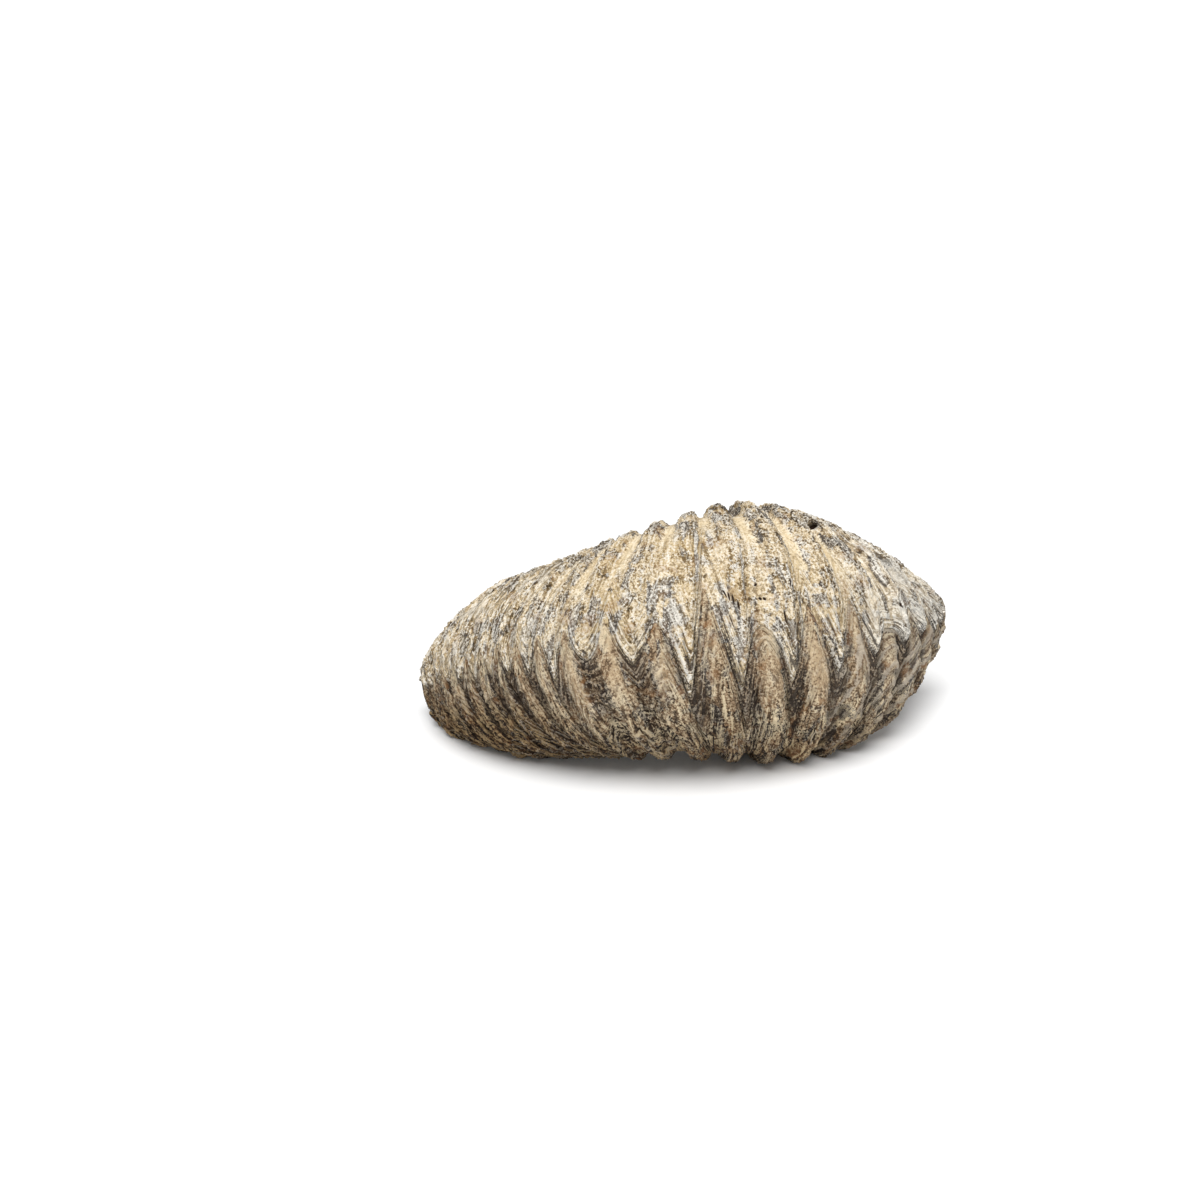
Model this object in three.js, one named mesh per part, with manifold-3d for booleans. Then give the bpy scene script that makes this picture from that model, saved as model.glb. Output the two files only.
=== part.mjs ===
// A fossil oyster of the crescent-shaped, zigzag-margined kind, lying closed on its lower valve.
//
// The shell is a crescent bent round a vertical axis. Seen in section at any place along the
// crescent, each valve climbs from the outer margin over a keel and drops down a steep inner
// flank to the inner margin. Ribs fan from the keel to both margins. On the outer margin every
// rib ends in a pointed tooth, and the teeth of the two valves lock into one zigzag line.
// Both valves are solid, because the shell is filled with hardened sediment.
//
// Millimetres, +Z up. The origin is under the middle of the shell, on the surface it lies on.
import * as THREE from "three";
import { mergeVertices } from "three/addons/utils/BufferGeometryUtils.js";
import Module from "manifold-3d";

// ---- Driving dimensions: millimetres and degrees ----------------------------------------

// Plan of the crescent, as distances from the axis that it is bent round.
const MARGIN_RADIUS = 61; // outer zigzag margin
const MARGIN_SWELL = [1.2, 1.2, 0.8, 0, 0, 0, 0.6, 2.6, 4]; // how much further out, at the stations
const KEEL_RADIUS = 37; // keel at the middle of the shell
const INNER_RADIUS = 20; // inner margin at the middle of the shell
const KEEL_CLOSING = 2.7; // how late the keel runs out to the tips: higher is later
const INNER_CLOSING = 2.4; // the same for the inner margin
const LEFT_END = 81.5; // angle from the middle of the shell to its left tip
const RIGHT_END = 76.5; // and to its blunter right tip

// Heights at nine stations from the left tip to the right tip, before the shell is laid down.
const TOP_LINE = [-3, 5.9, 16.8, 22, 27, 28.5, 20, 8, -1.5]; // crest of the upper keel
const BOTTOM_LINE = [-3, -15.5, -21.5, -24.3, -27, -30.4, -27.2, -13.5, -1.5]; // of the lower keel
const MARGIN_LINE = [-3, -2.7, -0.9, 0.5, -0.8, -3.4, -4, -3, -1.5]; // middle of the zigzag

// Roundness of the section. Heights follow a power of the sine, where lower is boxier, and
// widths a power of the cosine, where higher draws the keel to a sharper edge.
const OUTER_ROUNDNESS = 0.86;
const INNER_WALL_ROUNDNESS = 0.92;
const OUTER_KEEL_POWER = 1.2;
const INNER_KEEL_POWER = 1.05;

// Ribs, counted from the rib at the middle of the shell.
const RIB_ANGLE = 10.4; // from one rib to the next over the middle of the shell
const FIRST_RIB = -13.2; // rib count at the left tip
const LAST_RIB = 8.5; // rib count at the right tip
const FINE_LEFT = { from: -2.4, saving: 5.2 }; // ribs beyond here stand closer by this angle
const FINE_RIGHT = { from: 6, saving: 4.5 };
const SPACING_EASE = 0.5; // ribs over which the spacing changes
const RIB_HEIGHT = [0, 0.9, 1.25, 1.5, 2, 2.7, 2.7, 1.8, 0]; // crest over furrow, at the stations
const INNER_RIB_HEIGHT = 0.8;
const RIB_CREST = 1.05; // above 1 the crests are sharp, below it they are flat
const KEEL_RIB_CREST = 0.88; // the same on the upper keel, where the ribs are broad
const FURROW_FLOOR = 0.02; // share of the rib's rise that is left out to flatten the furrow
const KEEL_RIB_CHANGE = { left: -0.2, right: 0.45 }; // share that ribs gain on the upper keel
const UPPER_SWEEP = [0, 1, 3, 5.5, 6, 4, -5, -5, 0]; // degrees that a rib leans from tooth to keel
const LOWER_SWEEP = [0, 1, 2, 3, 5.5, 6, 0, -2, 0];
const SWEEP_EASE = 1.4; // above 1 the ribs leave the margin straight before they lean

// Teeth of the zigzag margins.
const TOOTH_LENGTH = [0, 1.6, 2.6, 4, 6.4, 7.4, 4.6, 2.6, 0]; // tip to middle line, at the stations
const TOOTH_LEAN = [0, 0, -1, -2, -2, 0, 2.2, 1, 0]; // degrees that the margin is carried round
const LEAN_EASE = 2; // how quickly that fades on the way to the keel: higher is quicker
const TOOTH_SHARPNESS = 0.985; // 1 would be a knife-sharp zigzag
const INNER_TOOTH_LENGTH = 1.1;
const TOOTH_WEAR = 0.5; // share of the ribs that is worn off the upper teeth
const MARGIN_ROUNDING = { upper: 1, lower: 2.6 }; // width of the rounded edge beside the margin
const LONGEST_TOOTH = 0.9; // share of the valve's height that a tooth can climb
const VALVE_GAP = 0.3; // clear height between the valves along the margin

// The middle teeth are uneven: how much longer each one is than the rule says, every half rib.
// The upper valve's teeth fall on whole ribs and the lower valve's between them.
const EXTRA_FROM = -3.5;
const EXTRA_TO = 6.5;
const TOOTH_EXTRA = [
  ...[0, 3, 0.6, -2.4, 0.8, -1.6, -0.9, 5.5, 5.2, 4.2, -3.8],
  ...[2.2, -0.2, 0.7, 1.9, -1.2, -4.6, -1.2, -1.1, -1.5, 0],
];

// A patch in the middle of the upper flank where the ribs are worn nearly smooth. Its share and
// its reach are parts of the way from the margin to the keel.
const WORN_PATCH = { rib: 0.3, ribs: 1.3, share: 0.44, reach: 0.2, wear: 0.85 };

// Where one form passes into another. The shares count from the outer margin to the keel, or
// from the keel to the inner margin, and the change on the keel is spread over these ribs.
const WORN_TEETH_SHARE = { from: 0.12, to: 0.55 }; // worn teeth into whole ribs
const BROAD_CREST_SHARE = { from: 0.3, to: 0.85 }; // sharp crests into broad ones
const KEEL_CHANGE_SHARE = { from: 0.6, to: 1 }; // ribs of the flank into those of the keel
const KEEL_CHANGE_RIBS = { from: 0, to: 2 };
const INNER_FLANK_SHARE = { from: 0.1, to: 0.75 }; // ribs of the keel into finer inner ones

// How late a form fades on the way to the inner margin or to a tip: a power, higher is later.
const INNER_SWEEP_FADE = 3;
const INNER_RIB_FADE = 6;
const INNER_TOOTH_FADE = 4;

// How the shell lies.
const ROLL = 24; // convex side turned up
const PITCH = 4.2; // left tip down
const YAW = 4; // left tip forward
const WEAR = 1; // depth worn off the lowest rib crests, so that it lies on flats

// Fineness of the facets.
const FACETS_PER_RIB = 4;
const OUTER_ROWS = [0, 0.035, 0.09, 0.17, 0.27, 0.39, 0.52, 0.67, 0.83, 1]; // margin to keel
const INNER_ROWS = 6; // keel to inner margin
const CONTACT_ROWS = 4; // across the face where the valves meet
const WELD = 1e-4; // vertices closer than this are one

// ---- Lines that run along the shell -----------------------------------------------------

const HALF_TURN = Math.PI;
const toRadians = THREE.MathUtils.degToRad;
const { lerp, smoothstep } = THREE.MathUtils;
const passInto = (value, change) => smoothstep(value, change.from, change.to);

// A smooth curve through equally spaced stations, at a place from 0 to 1.
function smoothLine(stations, place) {
  const last = stations.length - 1;
  const at = THREE.MathUtils.clamp(place, 0, 1) * last;
  const i = Math.min(Math.floor(at), last - 1);
  const f = at - i;
  const here = stations[i];
  const next = stations[i + 1];
  const before = i > 0 ? stations[i - 1] : 2 * here - next;
  const after = i + 2 <= last ? stations[i + 2] : 2 * next - here;
  const slope = (next - before) / 2;
  const nextSlope = (after - here) / 2;
  const bow = 3 * (next - here) - 2 * slope - nextSlope;
  const twist = 2 * (here - next) + slope + nextSlope;
  return here + f * (slope + f * (bow + f * twist));
}

// A line read at t, which runs from -1 at the left tip to 1 at the right tip. The stations crowd
// towards the tips so that the shell ends are rounded.
function along(stations, t) {
  return smoothLine(stations, Math.asin(THREE.MathUtils.clamp(t, -1, 1)) / HALF_TURN + 0.5);
}

const softRamp = (x) => SPACING_EASE * Math.log1p(Math.exp(x / SPACING_EASE));

// Angle of rib number n on the outer margin.
function ribAngle(n) {
  const left = FINE_LEFT.saving * softRamp(FINE_LEFT.from - n);
  const right = FINE_RIGHT.saving * softRamp(n - FINE_RIGHT.from);
  return RIB_ANGLE * n + left - right;
}

// Place along the shell, from -1 to 1, of a point at this angle.
const leftmost = ribAngle(FIRST_RIB);
const rightmost = ribAngle(LAST_RIB);
const placeOf = (angle) => (angle < 0 ? -angle / leftmost : angle / rightmost);
const bendOf = (t) => toRadians(t < 0 ? t * LEFT_END : t * RIGHT_END);

// A rounded zigzag between 1 and -1 that peaks at whole numbers.
function zigzag(n) {
  return Math.asin(TOOTH_SHARPNESS * Math.cos(2 * Math.PI * n)) / Math.asin(TOOTH_SHARPNESS);
}

// Rounded ribs: 1 on the crests at whole numbers, 0 between them.
function ribProfile(n, crestTop) {
  return smoothstep(0.5 + 0.5 * Math.cos(2 * Math.PI * n), FURROW_FLOOR, crestTop);
}

// ---- The section of the shell -----------------------------------------------------------

// A point of the smooth shell. phi is 0 at the outer margin, +-90 degrees at the upper and
// lower keel and +-180 degrees at the inner margin. Also gives the outward direction there.
function sectionPoint(t, phi) {
  const margin = MARGIN_RADIUS + along(MARGIN_SWELL, t);
  const keel = lerp(KEEL_RADIUS, margin, Math.abs(t) ** KEEL_CLOSING);
  const inner = lerp(INNER_RADIUS, margin, Math.abs(t) ** INNER_CLOSING);
  const middle = along(MARGIN_LINE, t);
  const c = Math.cos(phi);
  const s = Math.sin(phi);
  const height = s < 0 ? middle - along(BOTTOM_LINE, t) : along(TOP_LINE, t) - middle;
  const isOuter = c >= 0;
  const depth = isOuter ? margin - keel : keel - inner;
  const out = Math.sign(c) * Math.abs(c) ** (isOuter ? OUTER_KEEL_POWER : INNER_KEEL_POWER);
  const up = Math.sign(s) * Math.abs(s) ** (isOuter ? OUTER_ROUNDNESS : INNER_WALL_ROUNDNESS);
  return {
    radius: keel + depth * out,
    z: middle + height * up,
    outward: new THREE.Vector2(c * height, s * depth).normalize(),
  };
}

// The phi at which the smooth shell is this far above or below the middle of the margin.
function phiAtRise(t, rise, roundness) {
  const middle = along(MARGIN_LINE, t);
  const height = rise < 0 ? middle - along(BOTTOM_LINE, t) : along(TOP_LINE, t) - middle;
  const share = Math.min(Math.abs(rise) / Math.max(height, WELD), LONGEST_TOOTH);
  return Math.sign(rise) * Math.asin(share ** (1 / roundness));
}

// How far tooth n reaches from the middle line of the margin.
function toothReach(n, t) {
  const extra = smoothLine(TOOTH_EXTRA, (n - EXTRA_FROM) / (EXTRA_TO - EXTRA_FROM));
  return along(TOOTH_LENGTH, t) + extra;
}

// Height of the ribs at a point. outerShare goes from 0 at the outer margin to 1 at the keel and
// toInner from 0 at the keel to 1 at the inner margin. pastKeel fades the ribs of the outer
// flank into those of the inner one.
function ribHeight(n, t, side, outerShare, toInner, pastKeel) {
  const outer = along(RIB_HEIGHT, t);
  const height = lerp(outer, Math.min(INNER_RIB_HEIGHT, outer), pastKeel);
  if (side < 0) return height;
  const toothWear = TOOTH_WEAR * (1 - passInto(outerShare, WORN_TEETH_SHARE));
  const onKeel = passInto(outerShare, KEEL_CHANGE_SHARE) * (1 - pastKeel);
  const toRight = passInto(n, KEEL_CHANGE_RIBS);
  const keelChange = lerp(KEEL_RIB_CHANGE.left, KEEL_RIB_CHANGE.right, toRight);
  const aside = (n - WORN_PATCH.rib) / WORN_PATCH.ribs;
  const ahead = (outerShare - WORN_PATCH.share) / WORN_PATCH.reach;
  const patch = toInner > 0 ? 0 : Math.exp(-(aside ** 2) - ahead ** 2);
  return height * (1 - toothWear + onKeel * keelChange) * (1 - WORN_PATCH.wear * patch);
}

// One rib line of a valve: points from the outer margin over the keel to the inner margin, then
// back across the face where the valves meet. side is 1 for the upper valve, -1 for the lower.
function ribLine(n, side) {
  const isUpper = side > 0;
  const ruleAngle = ribAngle(n);
  const lean = along(TOOTH_LEAN, placeOf(ruleAngle));
  const tMargin = placeOf(ruleAngle + lean);
  const sweep = along(isUpper ? UPPER_SWEEP : LOWER_SWEEP, tMargin);
  const rounding = isUpper ? MARGIN_ROUNDING.upper : MARGIN_ROUNDING.lower;
  const reach = toothReach(n, tMargin);
  const outerPhi = phiAtRise(tMargin, -reach * zigzag(n), OUTER_ROUNDNESS);
  const innerReach = INNER_TOOTH_LENGTH * (1 - tMargin ** INNER_TOOTH_FADE);
  const innerPhi = phiAtRise(tMargin, -innerReach * zigzag(2 * n), INNER_WALL_ROUNDNESS);
  const quarterRib = (MARGIN_RADIUS * toRadians(RIB_ANGLE)) / 4;
  const steepness = 1 / Math.hypot(1, reach / quarterRib);
  const halfStep = isUpper ? 0 : 0.5;
  const marginZ = sectionPoint(tMargin, outerPhi).z;

  const pointAt = (phi, outerShare, toInner) => {
    const swept = sweep * outerShare ** SWEEP_EASE * (1 - toInner ** INNER_SWEEP_FADE);
    const t = placeOf(ruleAngle + lean * (1 - outerShare) ** LEAN_EASE + swept);
    const base = sectionPoint(t, phi);
    const fromMargin = Math.max(side * (base.z - marginZ) * steepness, 0);
    const edge = 1 - Math.exp(-((fromMargin / rounding) ** 2));
    const innerEdge = 1 - toInner ** INNER_RIB_FADE;
    const pastKeel = passInto(toInner, INNER_FLANK_SHARE);
    const keelZone = isUpper ? passInto(outerShare, BROAD_CREST_SHARE) : 0;
    const crestTop = lerp(RIB_CREST, KEEL_RIB_CREST, keelZone);
    const height = ribHeight(n, t, side, outerShare, toInner, pastKeel);
    const marginRelief = -(1 - TOOTH_WEAR) * along(RIB_HEIGHT, t);
    const outerRelief = height * (ribProfile(n + halfStep, crestTop) - 1);
    const innerRelief = height * (ribProfile(2 * n + halfStep, crestTop) - 1);
    const relief = lerp(
      lerp(marginRelief, outerRelief, edge),
      lerp(-height, innerRelief, innerEdge),
      pastKeel,
    );
    const radius = base.radius + relief * base.outward.x;
    const bend = bendOf(t);
    return new THREE.Vector3(
      radius * Math.sin(bend),
      -radius * Math.cos(bend),
      base.z + relief * base.outward.y,
    );
  };

  const keelPhi = (side * HALF_TURN) / 2;
  const points = OUTER_ROWS.map((row) => pointAt(lerp(outerPhi, keelPhi, row), row, 0));
  const endPhi = side * HALF_TURN - innerPhi;
  for (let row = 1; row <= INNER_ROWS; row += 1) {
    const toInner = row / INNER_ROWS;
    points.push(pointAt(lerp(keelPhi, endPhi, toInner), 1, toInner));
  }
  const first = points[0];
  const last = points[points.length - 1];
  first.z += (side * VALVE_GAP) / 2;
  last.z += (side * VALVE_GAP) / 2;
  for (let row = 1; row < CONTACT_ROWS; row += 1) {
    points.push(last.clone().lerp(first, row / CONTACT_ROWS));
  }
  return points;
}

// ---- From rib lines to a closed mesh ----------------------------------------------------

function valveGeometry(side) {
  const lines = [];
  const count = Math.round((LAST_RIB - FIRST_RIB) * FACETS_PER_RIB);
  const firstLine = Math.ceil(FIRST_RIB * FACETS_PER_RIB + 0.5);
  for (let i = firstLine; i < firstLine + count - 1; i += 1) {
    lines.push(ribLine(i / FACETS_PER_RIB, side));
  }
  const ring = lines[0].length;
  const tip = (t) => {
    const bend = bendOf(t);
    const radius = MARGIN_RADIUS + along(MARGIN_SWELL, t);
    const z = along(MARGIN_LINE, t) + (side * VALVE_GAP) / 2;
    return new THREE.Vector3(radius * Math.sin(bend), -radius * Math.cos(bend), z);
  };
  const points = [...lines.flat(), tip(-1), tip(1)];
  const leftTip = lines.length * ring;
  const rightTip = leftTip + 1;
  const triangles = [];
  const addTriangle = (a, b, c) => triangles.push(...(side > 0 ? [a, b, c] : [a, c, b]));
  for (let j = 0; j < ring; j += 1) {
    const k = (j + 1) % ring;
    for (let i = 0; i + 1 < lines.length; i += 1) {
      const here = i * ring;
      const next = here + ring;
      addTriangle(here + j, next + j, next + k);
      addTriangle(here + j, next + k, here + k);
    }
    const lastLine = (lines.length - 1) * ring;
    addTriangle(leftTip, j, k);
    addTriangle(rightTip, lastLine + k, lastLine + j);
  }
  const geometry = new THREE.BufferGeometry().setFromPoints(points);
  geometry.setIndex(triangles);
  return geometry;
}

// ---- Laying the shell down --------------------------------------------------------------

const wasm = await Module();
wasm.setup();

function toSolid(geometry) {
  const bare = geometry.clone();
  bare.deleteAttribute("normal");
  bare.deleteAttribute("uv");
  const merged = mergeVertices(bare, WELD);
  return new wasm.Manifold(
    new wasm.Mesh({
      numProp: 3,
      vertProperties: merged.attributes.position.array,
      triVerts: new Uint32Array(merged.index.array),
    }),
  );
}

function toGeometry(solid) {
  const mesh = solid.getMesh();
  const geometry = new THREE.BufferGeometry();
  geometry.setAttribute("position", new THREE.BufferAttribute(mesh.vertProperties, 3));
  geometry.setIndex(new THREE.BufferAttribute(mesh.triVerts, 1));
  geometry.computeVertexNormals();
  return geometry;
}

const pose = new THREE.Matrix4()
  .makeRotationZ(toRadians(YAW))
  .multiply(new THREE.Matrix4().makeRotationY(toRadians(-PITCH)))
  .multiply(new THREE.Matrix4().makeRotationX(toRadians(-ROLL)));

const upper = valveGeometry(1).applyMatrix4(pose);
const lower = valveGeometry(-1).applyMatrix4(pose);
upper.computeBoundingBox();
lower.computeBoundingBox();
const box = upper.boundingBox.clone().union(lower.boundingBox);
const middle = box.getCenter(new THREE.Vector3());
const floor = box.min.z + WEAR;
for (const geometry of [upper, lower]) {
  geometry.translate(-middle.x, -middle.y, -floor);
}

// The part of the lower valve that is worn away lies inside this block under the floor.
const size = box.getSize(new THREE.Vector3());
const ground = new THREE.BoxGeometry(2 * size.x, 2 * size.y, size.z);
ground.translate(0, 0, -size.z / 2);
const wornLower = toGeometry(toSolid(lower).subtract(toSolid(ground)));
upper.computeVertexNormals();

const fossilShell = new THREE.MeshStandardMaterial({ color: 0xa8967a, roughness: 0.85, metalness: 0 });
const shadedShell = new THREE.MeshStandardMaterial({ color: 0x8a7558, roughness: 0.9, metalness: 0 });

const upperValve = new THREE.Mesh(upper, fossilShell);
upperValve.name = "upper_valve";
const lowerValve = new THREE.Mesh(wornLower, shadedShell);
lowerValve.name = "lower_valve";

const oyster = new THREE.Group();
oyster.add(upperValve, lowerValve);

export default oyster;
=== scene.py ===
# %% [markdown] # A fossil oyster, in cells  This lesson builds one closed fossil oyster of the
# crescent-shaped kind whose two valves lock together along a zigzag line. The shell follows a
# rule: ribs fan out from a bent keel, and each rib ends in a tooth. That makes it a good piece
# for Geometry Nodes, where one tree can build both valves from the same sizes.

# %% Load the frame
import math
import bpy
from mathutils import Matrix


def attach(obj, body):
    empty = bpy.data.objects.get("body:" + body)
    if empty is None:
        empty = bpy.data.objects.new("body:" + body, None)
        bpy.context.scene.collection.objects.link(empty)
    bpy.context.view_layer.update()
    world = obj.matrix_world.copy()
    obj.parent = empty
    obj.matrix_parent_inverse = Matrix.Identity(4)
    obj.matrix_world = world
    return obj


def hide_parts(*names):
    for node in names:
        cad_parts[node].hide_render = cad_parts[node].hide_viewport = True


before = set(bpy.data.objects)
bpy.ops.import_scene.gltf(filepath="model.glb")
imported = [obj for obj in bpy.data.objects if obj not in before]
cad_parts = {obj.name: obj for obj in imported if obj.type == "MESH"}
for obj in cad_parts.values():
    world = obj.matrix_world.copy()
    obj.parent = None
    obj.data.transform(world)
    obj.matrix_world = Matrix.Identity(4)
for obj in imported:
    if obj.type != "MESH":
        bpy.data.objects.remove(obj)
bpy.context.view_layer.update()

from types import SimpleNamespace

import bmesh
import bpy
from mathutils import Quaternion, Vector

print("nodes in the frame:", sorted(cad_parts))

# %% [markdown]
# ## Sizes
#
# A fossil shell has no drawing, so its shape is written as a few lines that run along the
# crescent: the crest of the upper keel, the crest of the lower keel, the middle of the zigzag,
# and how tall the ribs and teeth are. Each line is a short list of stations, and a smooth curve
# is drawn through them. Everything is in millimetres and degrees until the last step.

# %% The plan and the lines of the shell
MARGIN_RADIUS = 61  # outer zigzag margin, from the axis that the crescent is bent round
MARGIN_SWELL = [1.2, 1.2, 0.8, 0, 0, 0, 0.6, 2.6, 4]  # how much further out it stands
KEEL_RADIUS = 37
INNER_RADIUS = 20
KEEL_CLOSING = 2.7  # how late the keel runs out to the tips: higher is later
INNER_CLOSING = 2.4
LEFT_END = 81.5  # degrees from the middle of the shell to its left tip
RIGHT_END = 76.5

TOP_LINE = [-3, 5.9, 16.8, 22, 27, 28.5, 20, 8, -1.5]
BOTTOM_LINE = [-3, -15.5, -21.5, -24.3, -27, -30.4, -27.2, -13.5, -1.5]
MARGIN_LINE = [-3, -2.7, -0.9, 0.5, -0.8, -3.4, -4, -3, -1.5]
OUTER_ROUNDNESS = 0.86  # power of the section's sine: below 1 the flank is boxy
INNER_WALL_ROUNDNESS = 0.92
OUTER_KEEL_POWER = 1.2  # power of its cosine: above 1 the keel is a sharp edge
INNER_KEEL_POWER = 1.05

RIB_ANGLE = 10.4  # degrees from rib to rib over the middle of the shell
FIRST_RIB = -13.2
LAST_RIB = 8.5
FINE_LEFT = {"start": -2.4, "saving": 5.2}  # ribs beyond here stand closer by this angle
FINE_RIGHT = {"start": 6, "saving": 4.5}
SPACING_EASE = 0.5  # ribs over which the spacing changes
RIB_HEIGHT = [0, 0.9, 1.25, 1.5, 2, 2.7, 2.7, 1.8, 0]
INNER_RIB_HEIGHT = 0.8
RIB_CREST = 1.05  # above 1 the crests are sharp, below it they are flat
KEEL_RIB_CREST = 0.88  # the same on the upper keel, where the ribs are broad
FURROW_FLOOR = 0.02  # share of the rib's rise that is left out to flatten the furrow
KEEL_RIB_CHANGE = {"left": -0.2, "right": 0.45}  # share that ribs gain on the upper keel
UPPER_SWEEP = [0, 1, 3, 5.5, 6, 4, -5, -5, 0]
LOWER_SWEEP = [0, 1, 2, 3, 5.5, 6, 0, -2, 0]
SWEEP_EASE = 1.4  # above 1 the ribs leave the margin straight before they lean

TOOTH_LENGTH = [0, 1.6, 2.6, 4, 6.4, 7.4, 4.6, 2.6, 0]
TOOTH_SHARPNESS = 0.985
INNER_TOOTH_LENGTH = 1.1
LONGEST_TOOTH = 0.9  # share of the valve's height that a tooth can climb
TOOTH_WEAR = 0.5  # how much of the ribs is worn off the upper valve's teeth
WORN_PATCH = {"rib": 0.3, "ribs": 1.3, "share": 0.44, "shares": 0.2, "wear": 0.85}
UPPER_MARGIN_ROUNDING = 0.6
LOWER_MARGIN_ROUNDING = 2.6
VALVE_GAP = 0.06  # measured up and down, so it closes where a tooth overhangs

TOOTH_LEAN = [0, 0, -1, -2, -2, 0, 2.2, 1, 0]  # degrees that the margin is carried round
LEAN_EASE = 2  # how quickly that fades on the way to the keel: higher is quicker

# Where one form passes into another: from and to, as shares of the way from the margin to the
# keel, or from the keel to the inner margin. The change on the keel is spread over these ribs.
WORN_TEETH_SHARE = (0.12, 0.55)
BROAD_CREST_SHARE = (0.3, 0.85)
KEEL_CHANGE_SHARE = (0.6, 1)
KEEL_CHANGE_RIBS = (0, 2)
INNER_FLANK_SHARE = (0.1, 0.75)

# How late a form fades on the way to the inner margin or to a tip: a power, higher is later.
INNER_SWEEP_FADE = 3
INNER_RIB_FADE = 6
INNER_TOOTH_FADE = 4

# The teeth across the middle are uneven. This is how much longer each one is than the rule says,
# every half rib from MIDDLE_FROM to MIDDLE_TO: the upper valve's teeth fall on whole ribs and the
# lower valve's between them.
MIDDLE_FROM = -3.5
MIDDLE_TO = 6.5
TOOTH_EXTRA = [0, 3, 0.6, -2.4, 0.8, -1.6, -0.9, 5.5, 5.2, 4.2, -3.8]
TOOTH_EXTRA += [2.2, -0.2, 0.7, 1.9, -1.2, -4.6, -1.2, -1.1, -1.5, 0]

REST_TURN = (-24, -4.2, 4)  # roll, pitch and yaw
REST_SHIFT = (-1.468, 34.282, 12.111)

COLUMNS = 540  # vertices along the shell
OUTER_ROWS = 124  # rows from the outer margin to the keel
INNER_ROWS = 42
CONTACT_ROWS = 6
ROW_CROWDING = 1.15  # above 1 the rows crowd towards the outer margin
MERGE_DISTANCE = 2e-6  # in metres
LOWER_SEED = 40.0  # moves the lower valve to another part of every noise
print("about", 2 * (COLUMNS - 1) * (OUTER_ROWS + INNER_ROWS + CONTACT_ROWS), "triangles a valve")

# %% [markdown]
# ## Arithmetic on sockets
#
# A rule with many terms is unreadable as a cloud of hand-placed Math nodes. One small class
# wraps a socket and overloads Python's operators, so an expression such as `height * (1 - edge)`
# adds the Math nodes by itself. The same class serves the geometry tree and the materials.

# %% The socket class and the bench that adds nodes
class Value:
    """A socket that takes part in Python arithmetic."""

    def __init__(self, bench, socket):
        self.bench = bench
        self.socket = socket

    def __pow__(self, other):
        return self.bench.math("POWER", self, other)

    def __neg__(self):
        return self.bench.math("MULTIPLY", self, -1)

    def __abs__(self):
        return self.bench.math("ABSOLUTE", self)

    def __gt__(self, other):
        return self.bench.math("GREATER_THAN", self, other)

    def __lt__(self, other):
        return self.bench.math("LESS_THAN", self, other)


def operator(operation, reflected):
    def apply(self, other):
        terms = (other, self) if reflected else (self, other)
        return self.bench.math(operation, *terms)

    return apply


# The reflected forms, such as __radd__, serve when the plain number stands first.
for verb, operation in {"add": "ADD", "sub": "SUBTRACT", "mul": "MULTIPLY", "truediv": "DIVIDE"}.items():
    setattr(Value, f"__{verb}__", operator(operation, reflected=False))
    setattr(Value, f"__r{verb}__", operator(operation, reflected=True))


class Bench:
    """Adds nodes to one tree: settings first, then the values or links of the sockets."""

    def __init__(self, tree):
        self.tree = tree

    def node(self, kind, sockets=None, outs=0, points=None, **settings):
        made = self.tree.nodes.new(kind)
        for name, setting in settings.items():
            setattr(made, name, setting)
        if points:
            curve = made.mapping.curves[0]
            made.mapping.extend = "HORIZONTAL"
            curve.points[0].location = points[0]
            curve.points[1].location = points[-1]
            for point in points[1:-1]:
                curve.points.new(*point)
            made.mapping.update()
        for name, value in (sockets or {}).items():
            self.plug(value, made.inputs[name])
        if isinstance(outs, tuple):
            return [Value(self, made.outputs[out]) for out in outs]
        return Value(self, made.outputs[outs])

    def plug(self, value, socket):
        if isinstance(value, Value):
            self.tree.links.new(value.socket, socket)
        else:
            socket.default_value = value

    def math(self, operation, *terms):
        return self.node("ShaderNodeMath", dict(enumerate(terms)), operation=operation)

    def larger(self, first, second):
        return self.math("MAXIMUM", first, second)

    def smaller(self, first, second):
        return self.math("MINIMUM", first, second)

    def between(self, low, high, share):
        return low + (high - low) * share

    def ease(self, value, start, end):
        """0 before start, 1 after end, and a smooth step between them."""
        sockets = {"Value": value, "From Min": start, "From Max": end}
        return self.node("ShaderNodeMapRange", sockets, interpolation_type="SMOOTHSTEP")

    def curve(self, samples, place):
        """A drawn curve through equally spaced samples, read at a place from 0 to 1."""
        low = min(samples)
        span = max(samples) - low
        last = len(samples) - 1
        points = [(k / last, (sample - low) / span) for k, sample in enumerate(samples)]
        share = self.node("ShaderNodeFloatCurve", {"Value": place}, points=points)
        return low + span * share

    def line(self, stations, place):
        """A smooth line through the stations, read at a place from 0 to 1."""
        return self.curve(line_samples(stations), place)

    def vector(self, x=0, y=0, z=0):
        return self.node("ShaderNodeCombineXYZ", {"X": x, "Y": y, "Z": z})

    def shift(self, first, second):
        return self.node("ShaderNodeVectorMath", {0: first, 1: second}, operation="ADD")

    def noise(self, position, size, **sockets):
        """Noise between 0 and 1 whose blobs are about `size` long."""
        given = {"Vector": position, "Scale": 1 / size, "Detail": 2.0, **sockets}
        return self.node("ShaderNodeTexNoise", given)

    def swing(self, position, size, **sockets):
        """The same noise, stretched to swing between about -1 and 1 whatever its detail."""
        stretch = 5 + 1.6 * sockets.get("Detail", 2.0)
        return (self.noise(position, size, **sockets) - 0.5) * stretch


print("node methods of the bench:", [name for name in vars(Bench) if not name.startswith("_")])

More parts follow.
